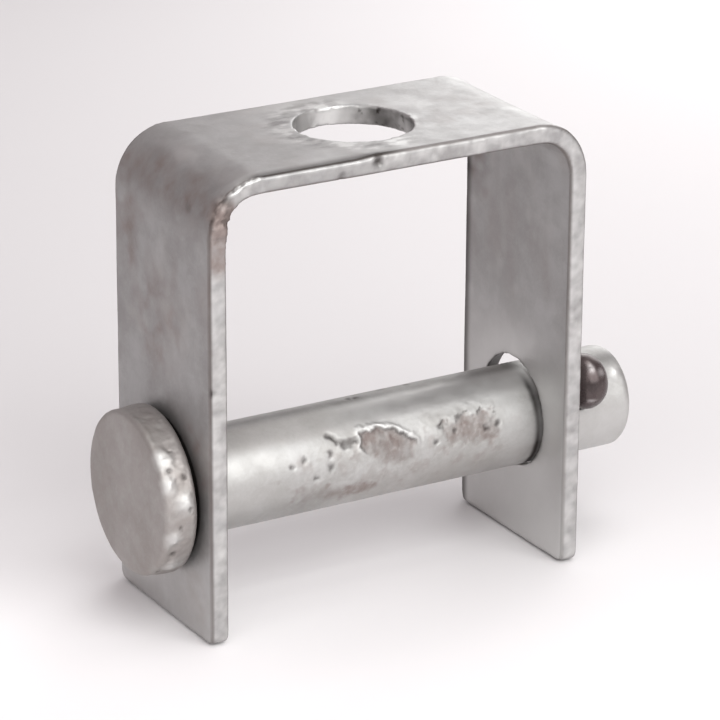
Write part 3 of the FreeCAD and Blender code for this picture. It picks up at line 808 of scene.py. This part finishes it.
class Paint:
    """A material's nodes, with coordinates in millimetres from the piece's own mesh."""

    def __init__(self, name):
        self.material = bpy.data.materials.new(name)
        self.material.use_nodes = True
        self.tree = self.material.node_tree
        self.shader = self.tree.nodes["Principled BSDF"]
        coordinates = self.add("ShaderNodeTexCoord")
        scaled = self.add("ShaderNodeVectorMath", operation="SCALE")
        self.join(coordinates.outputs["Object"], scaled.inputs[0])
        scaled.inputs["Scale"].default_value = 1 / MM
        self.place = scaled.outputs["Vector"]

    def add(self, kind, **settings):
        node = self.tree.nodes.new(kind)
        for key, setting in settings.items():
            setattr(node, key, setting)
        return node

    def join(self, source, target):
        self.tree.links.new(source, target)

    def feed(self, value, target):
        """Links a socket or writes a number or colour."""
        if isinstance(value, bpy.types.NodeSocket):
            self.join(value, target)
        else:
            target.default_value = value

    def noise(self, size, detail=3, roughness=0.5, shift=0, squeeze=None):
        """Noise with lumps about size millimetres across."""
        place = self.add("ShaderNodeMapping")
        self.join(self.place, place.inputs["Vector"])
        place.inputs["Location"].default_value = (shift, 2 * shift, 3 * shift)
        if squeeze:
            place.inputs["Scale"].default_value = squeeze
        node = self.add("ShaderNodeTexNoise")
        self.join(place.outputs["Vector"], node.inputs["Vector"])
        node.inputs["Scale"].default_value = 1 / size
        node.inputs["Detail"].default_value = detail
        node.inputs["Roughness"].default_value = roughness
        return node.outputs["Fac"]

    def cells(self, size):
        """Three channels that differ from crystal to crystal, each about size millimetres across."""
        node = self.add("ShaderNodeTexVoronoi")
        self.join(self.place, node.inputs["Vector"])
        node.inputs["Scale"].default_value = 1 / size
        channels = self.add("ShaderNodeSeparateColor")
        self.join(node.outputs["Color"], channels.inputs[0])
        return channels.outputs

    def mark(self, name):
        """A mark that the piece's own mesh carries."""
        return self.add("ShaderNodeAttribute", attribute_name=name).outputs["Fac"]

    def between(self, value, low, high, to_low=0.0, to_high=1.0):
        """A smooth step from to_low to to_high as the value goes from low to high."""
        node = self.add("ShaderNodeMapRange", interpolation_type="SMOOTHSTEP")
        self.feed(value, node.inputs["Value"])
        ends = {"From Min": low, "From Max": high, "To Min": to_low, "To Max": to_high}
        for key, number in ends.items():
            node.inputs[key].default_value = number
        return node.outputs["Result"]

    def maths(self, operation, first, second):
        node = self.add("ShaderNodeMath", operation=operation)
        self.feed(first, node.inputs[0])
        self.feed(second, node.inputs[1])
        return node.outputs[0]

    def weighted(self, *layers):
        """The sum of layers, each given as (socket, weight)."""
        parts = [self.maths("MULTIPLY", value, weight) for value, weight in layers]
        total = parts[0]
        for part in parts[1:]:
            total = self.maths("ADD", total, part)
        return total

    def mix(self, share, first, second):
        node = self.add("ShaderNodeMix", data_type="RGBA")
        self.feed(share, node.inputs[0])
        self.feed(first, node.inputs[6])
        self.feed(second, node.inputs[7])
        return node.outputs[2]

    def bump(self, height, depth, before=None):
        """Bump with a relief of depth millimetres."""
        node = self.add("ShaderNodeBump")
        node.inputs["Distance"].default_value = depth * MM
        self.join(height, node.inputs["Height"])
        if before:
            self.join(before, node.inputs["Normal"])
        return node.outputs["Normal"]

    def surface(self, colour, roughness, normal, metallic):
        self.feed(colour, self.shader.inputs["Base Color"])
        self.feed(roughness, self.shader.inputs["Roughness"])
        self.feed(metallic, self.shader.inputs["Metallic"])
        self.join(normal, self.shader.inputs["Normal"])
        return self.material


# Colours that the marks mix in: dull zinc and painted shade, fresh zinc and painted light, pits and
# painted shade.
DULL_ZINC_AND_SHADE = (0.275, 0.224, 0.208, 1)
FRESH_ZINC_AND_LIGHT = (0.62, 0.615, 0.605, 1)
PIT_ZINC_AND_SHADE = (0.05, 0.043, 0.04, 1)
ZINC_METALLIC = 0.8
# Pale and darker tone, least and most roughness, and how far its noise is shifted.
STRAP_ZINC = ((0.42, 0.415, 0.415, 1), (0.33, 0.32, 0.317, 1), 0.42, 0.50, 0)
PIN_ZINC = ((0.50, 0.495, 0.488, 1), (0.39, 0.38, 0.366, 1), 0.46, 0.56, 200)

WIRE_TONES = ((0.080, 0.060, 0.060, 1), (0.100, 0.080, 0.078, 1))
# Colours of the painted shade and the painted highlights on the wire.
WIRE_SHADE = (0.012, 0.010, 0.010, 1)
WIRE_GLEAM = (0.40, 0.37, 0.37, 1)
WIRE_METALLIC = 0.6


def zinc(name, pale, darker, smooth, rough, shift):
    """Hot-dip zinc: soft clouds, fine grain and faint crystals, with the mesh's marks over them: stains,
    pale zinc, pits, and painted light and shade.
    """
    paint = Paint(name)
    clouds = paint.noise(11, 4, 0.55, shift)
    mottle = paint.noise(2.4, 4, 0.6, shift + 20)
    grain = paint.noise(0.45, 3, 0.6, shift + 40)
    crystals = paint.cells(2.6)
    bright = paint.mark("bright")
    tone = paint.weighted((clouds, 0.55), (mottle, 0.25), (grain, 0.15), (crystals[0], 0.05))
    colour = paint.mix(paint.between(tone, 0.36, 0.64), darker, pale)
    stained = paint.maths("MULTIPLY", paint.mark("stain"), paint.between(mottle, 0.25, 0.6, 0.45, 1.0))
    colour = paint.mix(stained, colour, DULL_ZINC_AND_SHADE)
    colour = paint.mix(bright, colour, FRESH_ZINC_AND_LIGHT)
    colour = paint.mix(paint.mark("dark"), colour, PIT_ZINC_AND_SHADE)
    gloss = paint.between(paint.noise(3, 4, 0.6, shift + 9), 0.3, 0.7, smooth, rough)
    gloss = paint.weighted((gloss, 1), (crystals[1], 0.04), (stained, 0.12), (bright, -0.12))
    normal = paint.bump(paint.noise(1.4, 3, 0.5, shift + 3), 0.03)
    normal = paint.bump(grain, 0.010, normal)
    return paint.surface(colour, gloss, normal, ZINC_METALLIC)


def dark_wire():
    """Bare drawn wire, dark and smooth."""
    paint = Paint("cotter_wire")
    marks = paint.noise(0.8, 4, 0.6, 5, (1, 0.2, 0.2))
    colour = paint.mix(paint.between(marks, 0.35, 0.7), *WIRE_TONES)
    # Painted shade and painted highlights from the mesh's marks.
    colour = paint.mix(paint.mark("dark"), colour, WIRE_SHADE)
    colour = paint.mix(paint.mark("bright"), colour, WIRE_GLEAM)
    gloss = paint.between(paint.noise(2, 3, 0.5, 8), 0.3, 0.7, 0.24, 0.32)
    return paint.surface(colour, gloss, paint.bump(marks, 0.004), WIRE_METALLIC)


strap_zinc = zinc("galvanised_strap", *STRAP_ZINC)
pin_zinc = zinc("galvanised_pin", *PIN_ZINC)
finish_piece("clevis_strap_zinc", strap_mesh(), strap_zinc, "strap", "clevis_strap")
finish_piece("clevis_pin_zinc", pin_mesh(), pin_zinc, "pin", "clevis_pin")
finish_piece("split_cotter", cotter_mesh(), dark_wire(), "cotter", "cotter_pin")


# Floor: pale, painted lightest in front and with a painted pool of light by the left foot, and a little
# dimmer at the far left as painted shade.

FLOOR_NEAR = (0.87, 0.85, 0.858, 1)
FLOOR_FAR = (0.71, 0.69, 0.698, 1)
FLOOR_FAR_LEFT = (0.66, 0.641, 0.649, 1)
FLOOR_BY_FOOT = (0.97, 0.95, 0.958, 1)
FLOOR_ROUGHNESS = 0.8
FLOOR_REACH = 4.0
LEFT_FOOT = (-46, -4, LEG_END)


def pale_floor():
    paint = Paint("floor")
    apart = paint.add("ShaderNodeSeparateXYZ")
    paint.join(paint.place, apart.inputs[0])
    x, y = apart.outputs["X"], apart.outputs["Y"]
    towards = paint.weighted((x, -0.5), (y, -0.85))
    leftwards = paint.weighted((x, -0.85), (y, 0.5))
    far = paint.mix(paint.between(leftwards, -80, 120), FLOOR_FAR, FLOOR_FAR_LEFT)
    tone = paint.mix(paint.between(towards, -60, 50), far, FLOOR_NEAR)
    # A painted pool of light by the left foot.
    from_foot = paint.add("ShaderNodeVectorMath", operation="DISTANCE")
    paint.join(paint.place, from_foot.inputs[0])
    from_foot.inputs[1].default_value = LEFT_FOOT
    by_foot = paint.between(from_foot.outputs["Value"], 10, 45, 0.5, 0.0)
    tone = paint.mix(by_foot, tone, FLOOR_BY_FOOT)
    return paint.surface(tone, FLOOR_ROUGHNESS, paint.bump(paint.noise(60, 2), 0.01), 0.0)


def floor_mesh():
    mesh = bpy.data.meshes.new("floor")
    sides = [(-1, -1), (1, -1), (1, 1), (-1, 1)]
    points = [(FLOOR_REACH * x, FLOOR_REACH * y, LEG_END * MM) for x, y in sides]
    mesh.from_pydata(points, [], [(0, 1, 2, 3)])
    mesh.materials.append(pale_floor())
    return mesh


new_object("floor", floor_mesh())


# Light.

LIGHT_COLOUR = (0.98, 1.0, 0.99)
ROOM_COLOUR = (1.0, 0.90, 0.92, 1)
ROOM_STRENGTH = 0.42
# Name, direction from the clevis, distance, width and power.
SOFTBOXES = [("key", (0.10, -0.80, 0.60), 1.0, 1.0, 10.0),
             ("fill", (-0.70, -0.50, 0.50), 1.0, 0.8, 2.5),
             ("top", (0.20, 0.00, 1.00), 1.0, 0.5, 2.4),
             ("back", (0.70, 0.60, 0.35), 0.40, 0.25, 0.4)]


def softbox(name, towards, distance, width, power):
    """A square light out of shot, seen from the clevis along towards."""
    light = bpy.data.lights.new(name, "AREA")
    light.shape = "SQUARE"
    light.size = width
    light.energy = power
    light.color = LIGHT_COLOUR
    obj = new_object(name, light)
    target = Vector((0, 0, LEG_END * MM / 2))
    direction = Vector(towards).normalized()
    obj.location = target + direction * distance
    obj.rotation_mode = "QUATERNION"
    obj.rotation_quaternion = direction.to_track_quat("Z", "Y")
    obj.visible_camera = False


for box in SOFTBOXES:
    softbox(*box)

world = bpy.data.worlds.new("studio")
world.use_nodes = True
room = world.node_tree.nodes["Background"]
room.inputs["Color"].default_value = ROOM_COLOUR
room.inputs["Strength"].default_value = ROOM_STRENGTH
bpy.context.scene.world = world
bpy.context.scene.view_settings.view_transform = "Standard"


# Camera: stands where the photograph's stood, turned to the clevis and zoomed to it.

PHOTO_MIDDLE = 360
PHOTO_FOCAL = 1710.3
CLEVIS_PIXEL = (510.5, 455.5)
SHOWN_PIXELS = 320
CAMERA_PLACE = Vector((-277.96, -471.31, 171.43)) * MM
CAMERA_YAW = math.radians(-25.37)
CAMERA_PITCH = math.radians(17.68)
CAMERA_ROLL = math.radians(-1.40)


def camera_turn():
    """Rotation of the photograph's camera, then the smallest turn to look at the clevis."""
    back = Vector((math.sin(CAMERA_YAW) * math.cos(CAMERA_PITCH),
                   -math.cos(CAMERA_YAW) * math.cos(CAMERA_PITCH), math.sin(CAMERA_PITCH)))
    level = Vector((math.cos(CAMERA_YAW), math.sin(CAMERA_YAW), 0))
    upright = back.cross(level)
    right = level * math.cos(CAMERA_ROLL) + upright * math.sin(CAMERA_ROLL)
    up = upright * math.cos(CAMERA_ROLL) - level * math.sin(CAMERA_ROLL)
    photo = Matrix((right, up, back)).transposed()
    aim = Vector((CLEVIS_PIXEL[0] - PHOTO_MIDDLE, PHOTO_MIDDLE - CLEVIS_PIXEL[1], -PHOTO_FOCAL))
    return photo.to_quaternion() @ Vector((0, 0, -1)).rotation_difference(aim)


lens = bpy.data.cameras.new("camera")
lens.sensor_width = 36
lens.lens = lens.sensor_width * PHOTO_FOCAL / SHOWN_PIXELS
lens.clip_start = 0.01
lens.clip_end = 20
camera = new_object("camera", lens)
camera.location = CAMERA_PLACE
camera.rotation_mode = "QUATERNION"
camera.rotation_quaternion = camera_turn()
bpy.context.scene.camera = camera


def corners(bounds):
    return [list(corner) for corner in bounds]
